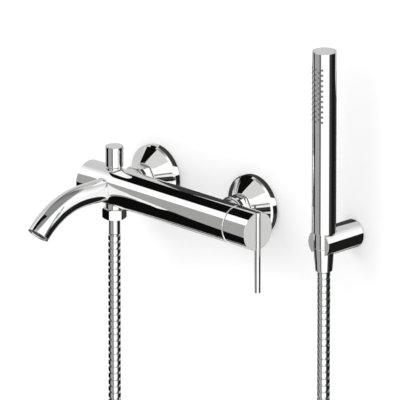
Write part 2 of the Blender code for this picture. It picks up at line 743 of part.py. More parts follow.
def make_hose_connection():
    nipple = [
        (5 * MM, -32.2 * MM),
        (9.9 * MM, -32.2 * MM),
        (9.9 * MM, -25.4 * MM),
        (7.7 * MM, -25.4 * MM),
        (7.7 * MM, -13.3 * MM),
        (5 * MM, -13.3 * MM),
    ]
    piece("outlet_nipple", on_outlet_axis(nipple), BRASS)
    corner = corner_radius(HOSE_NUT_ACROSS_FLATS)
    hexagon = [
        (0, HOSE_NUT_BOTTOM),
        (corner, HOSE_NUT_BOTTOM),
        (corner, HOSE_NUT_TOP - 0.8 * MM),
        (corner - 1.2 * MM, HOSE_NUT_TOP),
        (0, HOSE_NUT_TOP),
    ]
    nut = piece("mixer_hose_nut", on_outlet_axis(hexagon, 6, HOSE_NUT_TURN), CHROME)
    thread = [
        (0, HOSE_NUT_BOTTOM - 1 * MM),
        (6.1 * MM, HOSE_NUT_BOTTOM - 1 * MM),
        (6.1 * MM, -35.1 * MM),
        (10.3 * MM, -35.1 * MM),
        (10.3 * MM, HOSE_NUT_TOP + 1 * MM),
        (0, HOSE_NUT_TOP + 1 * MM),
    ]
    combine(nut, "DIFFERENCE", [on_outlet_axis(thread)])
    piece("mixer_hose_washer", on_outlet_axis(ring(5.2 * MM, 9.8 * MM, -33.7 * MM, -32.5 * MM)), RUBBER)
    ferrule = [
        (FERRULE_BORE, FERRULE_BOTTOM),
        (FERRULE_RADIUS, FERRULE_BOTTOM),
        (FERRULE_RADIUS, -36.6 * MM),
        (5.8 * MM, -36.6 * MM),
        (5.8 * MM, -34.8 * MM),
        (9.7 * MM, -34.8 * MM),
        (9.7 * MM, -34 * MM),
        (FERRULE_BORE, -34 * MM),
    ]
    piece("mixer_hose_ferrule", on_outlet_axis(ferrule), CHROME)


def smooth_line(points, step):
    """A smooth curve through the points, read at even steps along its length."""
    points = [Vector(point) * MM for point in points]
    before, after = 2 * points[0] - points[1], 2 * points[-1] - points[-2]
    padded = [before, *points, after]
    fine = []
    for p0, p1, p2, p3 in zip(padded, padded[1:], padded[2:], padded[3:]):
        for part in range(CURVE_PARTS):
            t = part / CURVE_PARTS
            bend = (2 * p0 - 5 * p1 + 4 * p2 - p3) * t * t
            fine.append((2 * p1 + (p2 - p0) * t + bend + (3 * p1 - p0 - 3 * p2 + p3) * t**3) / 2)
    fine.append(points[-1])
    reach = [0.0]
    for first, second in zip(fine, fine[1:]):
        reach.append(reach[-1] + (second - first).length)
    count = round(reach[-1] / step)
    line, at = [], 0
    for number in range(count + 1):
        goal = reach[-1] * number / count
        while at < len(reach) - 2 and reach[at + 1] < goal:
            at += 1
        share = (goal - reach[at]) / (reach[at + 1] - reach[at])
        line.append(fine[at].lerp(fine[at + 1], share))
    return line


def nozzle_places():
    """Each nozzle's turn from straight ahead and its height, in columns staggered by half a pitch."""
    places = []
    for column in range(NOZZLE_COLUMNS):
        turn = (column - (NOZZLE_COLUMNS - 1) / 2) * NOZZLE_COLUMN_STEP
        for row in range(NOZZLE_ROWS - column % 2):
            height = HANDSET_TOP - NOZZLE_TOP_DROP - (row + 0.5 * (column % 2)) * NOZZLE_PITCH
            places.append((turn, height))
    return places


def radial_shapes(profile, sides):
    """The profile turned about each nozzle's own axis, which points out from the handset's."""
    shapes = []
    for turn, height in nozzle_places():
        direction = Vector((math.sin(turn), -math.cos(turn), 0))
        shapes.append(turned(profile, along(direction, (HANDSET_X, HANDSET_Y, height)), sides))
    return merged(shapes)


def make_nozzle_insert(joint):
    """The soft strip behind the tube's holes, with a nozzle standing out through each."""
    outer, inner = HANDSET_BORE - GAP, HANDSET_BORE - 1.5 * MM
    low = HANDSET_TOP - NOZZLE_TOP_DROP - NOZZLE_ROWS * NOZZLE_PITCH
    high = HANDSET_TOP - NOZZLE_TOP_DROP + NOZZLE_PITCH
    strip = piece("nozzle_insert", on_handset_axis(ring(inner, outer, low, high)), SILICONE, joint)
    reach = HANDSET_RADIUS + NOZZLE_PROUD
    nozzle = [
        (0, inner + 0.3 * MM),
        (NOZZLE_RADIUS, inner + 0.3 * MM),
        (NOZZLE_RADIUS, HANDSET_RADIUS),
        (NOZZLE_RADIUS * 0.7, reach),
        (0, reach),
    ]
    combine(strip, "UNION", [radial_shapes(nozzle, NOZZLE_SIDES)])


def make_handset(joint):
    edge = 0.3 * MM
    tube = [
        (HANDSET_BORE, HANDSET_BOTTOM),
        (HANDSET_RADIUS - edge, HANDSET_BOTTOM),
        (HANDSET_RADIUS, HANDSET_BOTTOM + edge),
        (HANDSET_RADIUS, HANDSET_TOP - edge),
        (HANDSET_RADIUS - edge, HANDSET_TOP),
        (HANDSET_BORE, HANDSET_TOP),
    ]
    body = piece("handset_tube", on_handset_axis(tube), CHROME, joint)
    hole = rod(NOZZLE_RADIUS + GAP, HANDSET_BORE - 1 * MM, HANDSET_RADIUS + 2 * MM)
    combine(body, "DIFFERENCE", [radial_shapes(hole, NOZZLE_SIDES)])
    make_nozzle_insert(joint)
    cap = rod(HANDSET_BORE - GAP, HANDSET_TOP - 4 * MM, HANDSET_TOP)
    piece("handset_top_cap", on_handset_axis(cap), CHROME, joint)
    neck = [
        (6 * MM, -9.5 * MM),
        (9.3 * MM, -9.5 * MM),
        (9.3 * MM, NECK_BOTTOM),
        (NECK_RADIUS, NECK_BOTTOM),
        (NECK_RADIUS, HANDSET_BOTTOM + 8 * MM),
        (6 * MM, HANDSET_BOTTOM + 8 * MM),
    ]
    piece("handset_neck", on_handset_axis(neck), CHROME, joint)
    nut = [
        (7.3 * MM, CONE_NUT_BOTTOM),
        (9.1 * MM, CONE_NUT_BOTTOM),
        (9.5 * MM, CONE_NUT_BOTTOM + 0.4 * MM),
        (11.2 * MM, CONE_NUT_TOP),
        (9.6 * MM, CONE_NUT_TOP),
        (9.6 * MM, -13 * MM),
        (8.3 * MM, -13 * MM),
        (8.3 * MM, -25.5 * MM),
        (7.3 * MM, -25.5 * MM),
    ]
    piece("handset_hose_nut", on_handset_axis(nut), CHROME, joint)
    washer = ring(5.2 * MM, 9 * MM, -11.2 * MM, -9.8 * MM)
    piece("handset_hose_washer", on_handset_axis(washer), RUBBER, joint)


def make_handset_ferrule(joint):
    ferrule = [
        (FERRULE_BORE, -28.2 * MM),
        (FERRULE_RADIUS, -28.2 * MM),
        (FERRULE_RADIUS, -12.6 * MM),
        (9.2 * MM, -12.6 * MM),
        (9.2 * MM, -11.5 * MM),
        (FERRULE_BORE, -11.5 * MM),
    ]
    piece("handset_hose_ferrule", on_handset_axis(ferrule), CHROME, joint)


def make_bracket():
    bar = chamfered(BRACKET_RADIUS, BRACKET_FRONT_Y, -GAP, 0.4 * MM)
    body = piece("bracket_body", on_bracket_axis(bar, LARGE), CHROME)
    seat = [
        (0, -16 * MM),
        (SEAT_RADIUS, -16 * MM),
        (SEAT_RADIUS, SEAT_LEDGE_Z),
        (SEAT_MOUTH_RADIUS, SEAT_LEDGE_Z),
        (SEAT_MOUTH_RADIUS, 26 * MM),
        (0, 26 * MM),
    ]
    grub_place = along(Z_AXIS, (HANDSET_X, -7 * MM, 0))
    grub_hole = turned(rod(2.3 * MM, -14 * MM, -5 * MM), grub_place, TINY)
    mount_hole = on_bracket_axis(rod(12.5 * MM, -14 * MM, 2 * MM))
    combine(body, "DIFFERENCE", [on_handset_axis(seat), mount_hole, grub_hole])
    piece("bracket_grub_screw", turned(rod(2 * MM, -11.6 * MM, -9 * MM), grub_place, TINY), STEEL)
    sleeve = ring(11.7 * MM, SEAT_RADIUS - GAP, -14 * MM, SEAT_LEDGE_Z - GAP)
    liner = piece("bracket_liner", on_handset_axis(sleeve), PLASTIC)
    trim = chamfered(BRACKET_RADIUS - GAP, BRACKET_FRONT_Y + GAP, -10 * MM, 0.4 * MM)
    combine(liner, "INTERSECT", [on_bracket_axis(trim, LARGE)])
    mount = [
        (2.8 * MM, 0),
        (12.2 * MM, 0),
        (12.2 * MM, -13.5 * MM),
        (5.3 * MM, -13.5 * MM),
        (5.3 * MM, -9.3 * MM),
        (2.8 * MM, -6.6 * MM),
    ]
    piece("bracket_mount", on_bracket_axis(mount), STEEL)
    screw = [
        (0, -12.6 * MM),
        (4.9 * MM, -12.6 * MM),
        (4.9 * MM, -9.8 * MM),
        (2.2 * MM, -7.1 * MM),
        (2.2 * MM, 29 * MM),
        (0, 31 * MM),
    ]
    piece("bracket_screw", on_bracket_axis(screw, SMALL), STEEL)
    piece("bracket_anchor", on_bracket_axis(ring(2.5 * MM, 4 * MM, 2.3 * MM, 32 * MM), SMALL), PLASTIC)


def main():
    clear_scene()
    turn_joint = joint_axis("lever_temperature_axis", (PIVOT_X, BODY_Y, 0))
    tilt_joint = joint_axis("lever_tilt_axis", (PIVOT_X, BODY_Y, 0), turn_joint)
    disc_joint = joint_axis("moving_disc_slide", (87 * MM, BODY_Y, 0), turn_joint)
    diverter_joint = joint_axis("diverter_slide", (OUTLET_X, BODY_Y, 0))
    lift_joint = joint_axis("handset_lift_slide", (HANDSET_X, HANDSET_Y, 0))
    swivel_joint = joint_axis("handset_turn_axis", (HANDSET_X, HANDSET_Y, 0), lift_joint)

    make_mixer_body()
    make_left_end_plug()
    for name, x in (("hot", -INLET_X), ("cold", INLET_X)):
        make_inlet(name, x)
    make_spout_parts()
    make_cartridge_fixed_parts()
    make_lever(turn_joint, tilt_joint, disc_joint)
    make_diverter(diverter_joint)
    make_diverter_spring()
    make_hose_connection()
    tube_along("shower_hose", smooth_line(HOSE_ROUTE_MM, HOSE_STEP), HOSE_RADIUS, 2, STEEL)
    make_handset(swivel_joint)
    make_handset_ferrule(lift_joint)
    make_bracket()


main()
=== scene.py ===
"""The looks of a wall mounted bath faucet with a hand shower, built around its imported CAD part.

Every piece stands in the CAD's own frame: +X right along the wall, +Y into the wall, +Z up, in metres.
Lengths below are in millimetres and turned into metres where a mesh or a place is made."""

import math

import bmesh
import bpy
from mathutils import Matrix, Vector


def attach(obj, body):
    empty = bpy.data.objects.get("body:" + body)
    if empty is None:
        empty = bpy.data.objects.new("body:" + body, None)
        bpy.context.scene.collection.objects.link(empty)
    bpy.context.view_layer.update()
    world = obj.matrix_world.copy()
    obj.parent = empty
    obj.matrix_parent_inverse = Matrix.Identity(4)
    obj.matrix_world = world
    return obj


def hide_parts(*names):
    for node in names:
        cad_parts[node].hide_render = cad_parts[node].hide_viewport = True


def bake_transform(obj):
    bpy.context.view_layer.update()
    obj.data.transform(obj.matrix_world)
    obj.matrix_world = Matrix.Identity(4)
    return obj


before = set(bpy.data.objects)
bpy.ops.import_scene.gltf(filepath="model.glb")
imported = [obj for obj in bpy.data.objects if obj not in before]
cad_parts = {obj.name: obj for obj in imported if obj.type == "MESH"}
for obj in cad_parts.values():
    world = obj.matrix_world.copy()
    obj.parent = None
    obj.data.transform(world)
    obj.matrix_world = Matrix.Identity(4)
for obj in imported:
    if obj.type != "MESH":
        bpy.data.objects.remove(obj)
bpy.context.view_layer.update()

MM = 0.001
X_AXIS, Y_AXIS, Z_AXIS = Vector((1, 0, 0)), Vector((0, 1, 0)), Vector((0, 0, 1))

# The CAD's main places and sizes.
INLET_X = 75
BODY_Y = -62.5
BODY_RADIUS = 21.5
OUTLET_X = -79.5
ROD_X = 141.5
ROD_RADIUS = 3.2
PIVOT_X = 92
SPOUT_RADIUS = 12.5
SPOUT_BORE = 11
SPOUT_STRAIGHT = 49
SPOUT_BEND_RADIUS = 93
SPOUT_BEND = math.radians(47)
HANDSET_X = 226.0
HANDSET_Y = -46
HANDSET_RADIUS = 13.25
HANDSET_BORE = 11.75
HANDSET_BOTTOM = 15.5
HANDSET_TOP = 220.6
BRACKET_RADIUS = 15.5
BRACKET_Z = 3.5
HOSE_RADIUS = 7

# Points of the hose's centre line, in metres, from the mixer's ferrule to the one in the cone nut.
HOSE_ROUTE = [
    (-0.0795, -0.0625, -0.0543),
    (-0.0795, -0.0625, -0.1),
    (-0.0795, -0.0625, -0.15),
    (-0.0795, -0.0625, -0.2),
    (-0.0795, -0.0625, -0.26),
    (-0.0795, -0.0625, -0.325),
    (-0.0743, -0.0622, -0.39),
    (-0.0591, -0.0614, -0.45),
    (-0.0348, -0.0601, -0.502),
    (-0.0031, -0.0584, -0.5415),
    (0.0337, -0.0564, -0.5665),
    (0.0733, -0.0543, -0.575),
    (0.1128, -0.0521, -0.5665),
    (0.1496, -0.0501, -0.5415),
    (0.1813, -0.0484, -0.502),
    (0.2056, -0.0471, -0.45),
    (0.2208, -0.0463, -0.39),
    (0.226, -0.046, -0.325),
    (0.226, -0.046, -0.26),
    (0.226, -0.046, -0.2),
    (0.226, -0.046, -0.15),
    (0.226, -0.046, -0.1),
    (0.226, -0.046, -0.06),
    (0.226, -0.046, -0.0287),
]

# The hose's square grooves: how far apart and how deep they are, the steps from one groove to the next, and
# how many of them lie in it.
HOSE_PITCH = 7.6
HOSE_GROOVE = 1.6
STEPS_PER_GROOVE = 18
GROOVE_STEPS = 5

# How many sides round shapes have, the steps in a rounded corner and the short flats beside it, and the
# angle from which an edge is sharp.
EXTRA_FINE, FINE, COARSE = 192, 128, 64
ARC_STEPS = 4
SUPPORT = 0.06
SHARP = math.radians(38)

# Studio: the black cards' brightness, the light that matt surfaces get from all round, and half the width of
# the wall and the floor.
BLACK = 0.004
ROOM_LIGHT = 1.42
SHEET_REACH = 9

# ---------------------------------------------------------------- meshes


def along(axis, centre=(0, 0, 0)):
    """The transform that carries +Z onto axis and the origin onto centre, with centre in millimetres."""
    turn = Z_AXIS.rotation_difference(Vector(axis)).to_matrix().to_4x4()
    return Matrix.Translation(Vector(centre) * MM) @ turn


def body_axis(offset_y=0, offset_z=0):
    return along(X_AXIS, (0, BODY_Y + offset_y, offset_z))


def inlet_axis(x):
    return along(Y_AXIS, (x, 0, 0))


def upright_axis(x, y):
    return along(Z_AXIS, (x, y, 0))


def arc_between(centre, start, end, steps):
    """Points on the short arc about centre from start to end."""
    first, last = start - centre, end - centre
    turn = first.angle_signed(last)
    points = []
    for step in range(steps + 1):
        angle = -turn * step / steps
        cos, sin = math.cos(angle), math.sin(angle)
        points.append(centre + Vector((first.x * cos - first.y * sin, first.x * sin + first.y * cos)))
    return points


def rounded(profile):
    """The profile with each corner that has a third number rounded to that radius.

    A short flat on either side of the round keeps the faces beside it flat in the shading."""
    points = []
    for index, corner in enumerate(profile):
        here = Vector(corner[:2])
        if len(corner) == 2:
            points.append(here)
            continue
        before = Vector(profile[index - 1][:2])
        after = Vector(profile[(index + 1) % len(profile)][:2])
        back, ahead = (before - here).normalized(), (after - here).normalized()
        half = back.angle(ahead) / 2
        reach = corner[2] / math.tan(half)
        centre = here + (back + ahead).normalized() * corner[2] / math.sin(half)
        points.append(here + back * (reach + SUPPORT))
        points += arc_between(centre, here + back * reach, here + ahead * reach, ARC_STEPS)
        points.append(here + ahead * (reach + SUPPORT))
    return points


def turned(profile, place, sides=FINE, first=0.0):
    """A solid turned about an axis.

    The profile holds (radius, height) or (radius, height, rounding) in millimetres, and one that keeps
    clear of the axis closes on itself into a ring."""
    shape = bmesh.new()
    verts = [shape.verts.new((radius * MM, 0, height * MM)) for radius, height in rounded(profile)]
    edges = [shape.edges.new(pair) for pair in zip(verts, verts[1:])]
    if all(corner[0] > 0 for corner in profile):
        edges.append(shape.edges.new((verts[-1], verts[0])))
    bmesh.ops.rotate(shape, verts=verts, cent=(0, 0, 0), matrix=Matrix.Rotation(first, 3, "Z"))
    bmesh.ops.spin(
        shape,
        geom=verts + edges,
        cent=(0, 0, 0),
        axis=(0, 0, 1),
        angle=math.tau,
        steps=sides,
        use_merge=True,
    )
    bmesh.ops.remove_doubles(shape, verts=shape.verts, dist=1e-7)
    bmesh.ops.recalc_face_normals(shape, faces=shape.faces)
    shape.transform(place)
    return shape


def rod(radius, low, high):
    """The profile of a plain cylinder."""
    return [(0, low), (radius, low), (radius, high), (0, high)]


def circle(centre, across, up, radius, sides):
    """The points of a circle about centre, counted from across towards up."""
    points = []
    for side in range(sides):
        angle = math.tau * side / sides
        points.append(centre + (across * math.cos(angle) + up * math.sin(angle)) * radius)
    return points


def loft(rings, closed=False):
    """A surface through rings of as many points each, in metres.

    Closed joins the last ring to the first, and otherwise both ends are capped."""
    shape = bmesh.new()
    made = [[shape.verts.new(point) for point in ring] for ring in rings]
    pairs = list(zip(made, made[1:])) + ([(made[-1], made[0])] if closed else [])
    for one, two in pairs:
        for index in range(len(one)):
            after = (index + 1) % len(one)
            shape.faces.new((one[index], one[after], two[after], two[index]))
    if not closed:
        shape.faces.new(list(reversed(made[0])))
        shape.faces.new(made[-1])
    bmesh.ops.recalc_face_normals(shape, faces=shape.faces)
    return shape


def mesh_object(name, shape):
    mesh = bpy.data.meshes.new(name)
    shape.to_mesh(mesh)
    shape.free()
    mesh.shade_smooth()
    mesh.set_sharp_from_angle(angle=SHARP)
    obj = bpy.data.objects.new(name, mesh)
    bpy.context.scene.collection.objects.link(obj)
    return obj


def combine(obj, operation, shapes):
    """Joins each shape to obj, or cuts it out of obj, and keeps the result as its mesh."""
    tools = []
    for shape in shapes:
        tool = mesh_object("tool", shape)
        modifier = obj.modifiers.new("tool", "BOOLEAN")
        modifier.operation = operation
        modifier.solver = "EXACT"
        modifier.object = tool
        tools.append(tool)
    apply_modifiers(obj)
    for tool in tools:
        bpy.data.objects.remove(tool)


def apply_modifiers(obj):
    graph = bpy.context.evaluated_depsgraph_get()
    mesh = bpy.data.meshes.new_from_object(obj.evaluated_get(graph))
    obj.modifiers.clear()
    old = obj.data
    obj.data = mesh
    bpy.data.meshes.remove(old)
    mesh.name = obj.name


def bevel(obj, width, segments=3):
    """Rounds the sharp edges."""
    modifier = obj.modifiers.new("bevel", "BEVEL")
    modifier.width = width * MM
    modifier.segments = segments
    modifier.limit_method = "ANGLE"
    modifier.angle_limit = math.radians(35)
    modifier.harden_normals = True
    apply_modifiers(obj)


def true_normals(obj, rounds):
    """Gives the faces on each cylinder in rounds, as (point, axis, radius), the cylinder's own normals.

    A cut through the cylinder then leaves no kink in what it reflects."""
    mesh = obj.data
    mesh.shade_smooth()
    mesh.set_sharp_from_angle(angle=SHARP)
    normals = [Vector(corner.vector) for corner in mesh.corner_normals]
    for face in mesh.polygons:
        for point, axis, radius in rounds:
            spokes = []
            for index in face.vertices:
                spoke = mesh.vertices[index].co - Vector(point) * MM
                spokes.append(spoke - axis * spoke.dot(axis))
            if any(abs(spoke.length - radius * MM) > 0.02 * MM for spoke in spokes):
                continue
            middle = sum(spokes, Vector()).normalized()
            facing = face.normal.dot(middle)
            if abs(facing) < 0.98:
                continue
            for loop, spoke in zip(face.loop_indices, spokes):
                normals[loop] = spoke.normalized() * (1 if facing > 0 else -1)
            break
    mesh.normals_split_custom_set(normals)


def piece(obj, material, body, nodes=()):
    """Gives obj its material and the body it rides on, and hides the CAD nodes it stands for."""
    obj.data.materials.clear()
    obj.data.materials.append(material)
    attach(obj, body)
    if nodes:
        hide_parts(*nodes)
    return obj


# ---------------------------------------------------------------- materials


def new_material(name, colour, metallic, roughness):
    material = bpy.data.materials.new(name)
    material.use_nodes = True
    material.diffuse_color = (*colour, 1)
    tree = material.node_tree
    shader = tree.nodes["Principled BSDF"]
    shader.inputs["Base Color"].default_value = (*colour, 1)
    shader.inputs["Metallic"].default_value = metallic
    shader.inputs["Roughness"].default_value = roughness
    place = tree.nodes.new("ShaderNodeTexCoord")
    return material, tree, shader, place.outputs["Object"]


def noise(tree, vector, scale, detail=3.0):
    node = tree.nodes.new("ShaderNodeTexNoise")
    node.inputs["Scale"].default_value = scale
    node.inputs["Detail"].default_value = detail
    node.inputs["Roughness"].default_value = 0.5
    tree.links.new(vector, node.inputs["Vector"])
    return node.outputs["Fac"]


def map_range(tree, value, low, high, at_low, at_high):
    node = tree.nodes.new("ShaderNodeMapRange")
    node.inputs["From Min"].default_value = low
    node.inputs["From Max"].default_value = high
    node.inputs["To Min"].default_value = at_low
    node.inputs["To Max"].default_value = at_high
    tree.links.new(value, node.inputs["Value"])
    return node.outputs["Result"]


def spread(tree, value, low, high):
    """Maps the middle of a noise onto low to high."""
    return map_range(tree, value, 0.3, 0.7, low, high)


def blend_colours(tree, value, first, second):
    node = tree.nodes.new("ShaderNodeMix")
    node.data_type = "RGBA"
    node.inputs["A"].default_value = (*first, 1)
    node.inputs["B"].default_value = (*second, 1)
    tree.links.new(value, node.inputs["Factor"])
    return node.outputs["Result"]


def bump(tree, shader, height, distance):
    node = tree.nodes.new("ShaderNodeBump")
    node.inputs["Distance"].default_value = distance
    node.inputs["Strength"].default_value = 1.0
    tree.links.new(height, node.inputs["Height"])
    tree.links.new(node.outputs["Normal"], shader.inputs["Normal"])


def speckled(name, dark, light, metallic, roughness, scale, grain):
    """A finish whose colour, roughness and surface all vary a little with a noise."""
    material, tree, shader, vector = new_material(name, light, metallic, sum(roughness) / 2)
    cloud = spread(tree, noise(tree, vector, scale), 0, 1)
    tree.links.new(blend_colours(tree, cloud, dark, light), shader.inputs["Base Color"])
    wear = spread(tree, noise(tree, vector, scale * 2.3), *roughness)
    tree.links.new(wear, shader.inputs["Roughness"])
    bump(tree, shader, noise(tree, vector, scale * 6, detail=2), grain)
    return material


def make_materials():
    made = {}
    made["chrome"] = speckled(
        "chrome_plate", (0.86, 0.865, 0.86), (0.9, 0.905, 0.9), 1.0, (0.012, 0.03), 45, grain=0.0000012
    )
    made["hose"] = speckled(
        "hose_steel", (0.83, 0.835, 0.83), (0.9, 0.905, 0.9), 1.0, (0.02, 0.05), 160, grain=0.000002
    )
    made["brass"] = speckled(
        "turned_brass", (0.55, 0.38, 0.15), (0.78, 0.6, 0.3), 1.0, (0.2, 0.38), 120, grain=0.00003
    )
    made["steel"] = speckled(
        "plain_steel", (0.5, 0.5, 0.49), (0.66, 0.66, 0.65), 1.0, (0.22, 0.36), 140, grain=0.00003
    )
    made["rubber"] = speckled(
        "black_rubber", (0.012, 0.012, 0.012), (0.035, 0.035, 0.034), 0.0, (0.5, 0.7), 200, grain=0.00005
    )
    made["ceramic"] = speckled(
        "alumina_ceramic", (0.78, 0.76, 0.7), (0.88, 0.86, 0.8), 0.0, (0.12, 0.25), 260, grain=0.00001
    )
    made["plastic"] = speckled(
        "acetal_plastic", (0.6, 0.6, 0.59), (0.72, 0.72, 0.71), 0.0, (0.35, 0.5), 180, grain=0.00003
    )
    made["dark_plastic"] = speckled(
        "dark_acetal", (0.045, 0.046, 0.046), (0.08, 0.081, 0.081), 0.0, (0.35, 0.5), 180, grain=0.00003
    )
    made["silicone"] = speckled(
        "grey_silicone", (0.1, 0.102, 0.102), (0.17, 0.172, 0.172), 0.0, (0.4, 0.55), 300, grain=0.00003
    )
    return made


MATERIALS = make_materials()
CHROME = MATERIALS["chrome"]


# ---------------------------------------------------------------- camera


def add_camera():
    """A long lens far off, on the right and above, so that parallel edges stay parallel."""
    azimuth, elevation, distance = math.radians(45), math.radians(18.36), 14.593
    back = Vector(
        (
            math.sin(azimuth) * math.cos(elevation),
            -math.cos(azimuth) * math.cos(elevation),
            math.sin(elevation),
        )
    )
    turn = (-back).to_track_quat("-Z", "Y")
    right, up = turn @ X_AXIS, turn @ Y_AXIS
    target = right * -6.62 * MM + up * -11.54 * MM
    camera = bpy.data.objects.new("camera", bpy.data.cameras.new("camera"))
    bpy.context.scene.collection.objects.link(camera)
    camera.data.lens = 1200
    camera.data.sensor_width = 36
    camera.data.clip_start = 0.1
    camera.data.clip_end = 200
    camera.rotation_mode = "QUATERNION"
    camera.rotation_quaternion = turn
    camera.location = target + back * distance
    bpy.context.scene.camera = camera


# ---------------------------------------------------------------- hose


def smooth_line(points, step):
    """A smooth curve through the points, read at even steps along its length."""
    points = [Vector(point) for point in points]
    padded = [2 * points[0] - points[1], *points, 2 * points[-1] - points[-2]]
    fine = []
    for p0, p1, p2, p3 in zip(padded, padded[1:], padded[2:], padded[3:]):
        for part in range(40):
            t = part / 40
            bend = (2 * p0 - 5 * p1 + 4 * p2 - p3) * t * t
            fine.append((2 * p1 + (p2 - p0) * t + bend + (3 * p1 - p0 - 3 * p2 + p3) * t**3) / 2)
    fine.append(points[-1])
    reach = [0.0]
    for first, second in zip(fine, fine[1:]):
        reach.append(reach[-1] + (second - first).length)
    count = round(reach[-1] / step)
    line, at = [], 0
    for number in range(count + 1):
        goal = reach[-1] * number / count
        while at < len(reach) - 2 and reach[at + 1] < goal:
            at += 1
        share = (goal - reach[at]) / (reach[at + 1] - reach[at])
        line.append(fine[at].lerp(fine[at + 1], share))
    return line


def make_hose():
    """A banded steel hose: a tube along the route with square grooves round it."""
    line = smooth_line(HOSE_ROUTE, HOSE_PITCH / STEPS_PER_GROOVE * MM)
    last = len(line) - 1
    rings = []
    across = Y_AXIS
    for index, point in enumerate(line):
        ahead = (line[min(index + 1, last)] - line[max(index - 1, 0)]).normalized()
        across = (across - ahead * across.dot(ahead)).normalized()
        in_groove = index % STEPS_PER_GROOVE < GROOVE_STEPS and 0 < index < last
        radius = HOSE_RADIUS - HOSE_GROOVE if in_groove else HOSE_RADIUS
        rings.append(circle(point, across, ahead.cross(across), radius * MM, 32))
    hose = mesh_object("hose", loft(rings))
    hose.data.set_sharp_from_angle(angle=math.radians(40))
    hose.data.materials.append(MATERIALS["hose"])
    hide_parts("shower_hose")
    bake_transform(hose)


# ---------------------------------------------------------------- mixer


def make_mixer_body():
    bar = [
        (0, -106),
        (12.3, -106),
        (12.3, -118, 0.3),
        (BODY_RADIUS, -118, 0.8),
        (BODY_RADIUS, 108.5, 1.1),
        (19.1, 108.5, 0.3),
        (19.1, 105.2),
        (17.5, 105.2),
        (17.5, 100),
        (0, 100),
    ]
    body = mesh_object("mixer_body_shell", turned(bar, body_axis(), EXTRA_FINE))
    boss = [(0, -50), (15, -50), (15, -36.4, 0.3), (13, -36.4), (13, -32.5), (0, -32.5)]
    bosses = [turned(boss, inlet_axis(side * INLET_X)) for side in (-1, 1)]
    outlet = upright_axis(OUTLET_X, BODY_Y)
    bosses.append(turned([(0, -24.7), (10.5, -24.7), (10.5, -17), (0, -17)], outlet))
    combine(body, "UNION", bosses)
    cuts = [
        turned(rod(SPOUT_RADIUS + 0.3, -90, -76.1), inlet_axis(OUTLET_X)),
        turned([(0, 8), (7, 8), (7, 19.4), (9, 19.4), (9, 25), (0, 25)], outlet),
        turned(rod(8, -27, -13), outlet),
    ]
    combine(body, "DIFFERENCE", cuts)
    true_normals(body, [((0, BODY_Y, 0), X_AXIS, BODY_RADIUS)])
    piece(body, CHROME, "mixer", ["mixer_body"])
    bead = mesh_object("spout_weld_bead", spout_bead())
    piece(bead, CHROME, "mixer")


def seam(angle):
    """A point of the seam between the spout and the round of the body, at an angle about the spout."""
    reach = SPOUT_RADIUS + 0.15
    height = reach * math.sin(angle)
    depth = math.sqrt(BODY_RADIUS**2 - height**2)
    return Vector((OUTLET_X + reach * math.cos(angle), BODY_Y - depth, height))


def spout_bead():
    """A thin bead along the seam."""
    steps, thick = 160, 0.5
    rings = []
    for step in range(steps):
        turn = math.tau * step / steps
        here = seam(turn)
        ahead = (seam(turn + 0.01) - seam(turn - 0.01)).normalized()
        out = (here - Vector((here.x, BODY_Y, 0))).normalized()
        side = ahead.cross(out).normalized()
        rings.append(circle(here * MM, out, side, thick * MM, 12))
    return loft(rings, closed=True)


def make_left_plug():
    disc = [(0, -108), (11.9, -108), (11.9, -117.6, 0.4), (0, -117.6)]
    plug = mesh_object("left_end_plug_face", turned(disc, body_axis()))
    key = turned(rod(5.77, -119, -112.5), body_axis(), 6)
    combine(plug, "DIFFERENCE", [key])
    bevel(plug, 0.15, 2)
    piece(plug, CHROME, "mixer", ["left_end_plug"])


def spout_place(reach):
    """The spout's centre at a length along it from the body's axis, and its direction there."""
    past = max(0.0, reach - SPOUT_STRAIGHT)
    turn = past / SPOUT_BEND_RADIUS
    ahead = min(reach, SPOUT_STRAIGHT) + SPOUT_BEND_RADIUS * math.sin(turn)
    drop = SPOUT_BEND_RADIUS * (1 - math.cos(turn))
    return Vector((OUTLET_X, BODY_Y - ahead, -drop)), Vector((0, -math.cos(turn), -math.sin(turn)))


SPOUT_LENGTH = SPOUT_STRAIGHT + SPOUT_BEND_RADIUS * SPOUT_BEND


def spout_ring(reach, radius):
    centre, ahead = spout_place(reach)
    return circle(centre * MM, X_AXIS, X_AXIS.cross(ahead), radius * MM, FINE)


def make_spout():
    start, end, bend_steps = 16.0, SPOUT_LENGTH - 0.6, 90
    stops = [start, SPOUT_STRAIGHT]
    for step in range(1, bend_steps + 1):
        stops.append(SPOUT_STRAIGHT + (end - SPOUT_STRAIGHT) * step / bend_steps)
    rings = [spout_ring(stop, SPOUT_RADIUS) for stop in stops]
    rim = 0.35
    mouth = rounded([(SPOUT_RADIUS, -1), (SPOUT_RADIUS, 0, rim), (SPOUT_BORE, 0, rim), (SPOUT_BORE, -1)])
    rings += [spout_ring(SPOUT_LENGTH + depth, radius) for radius, depth in mouth[1:-1]]
    rings += [spout_ring(stop, SPOUT_BORE) for stop in reversed(stops)]
    spout = mesh_object("spout_pipe", loft(rings, closed=True))
    piece(spout, CHROME, "mixer", ["spout_tube"])
    make_aerator()


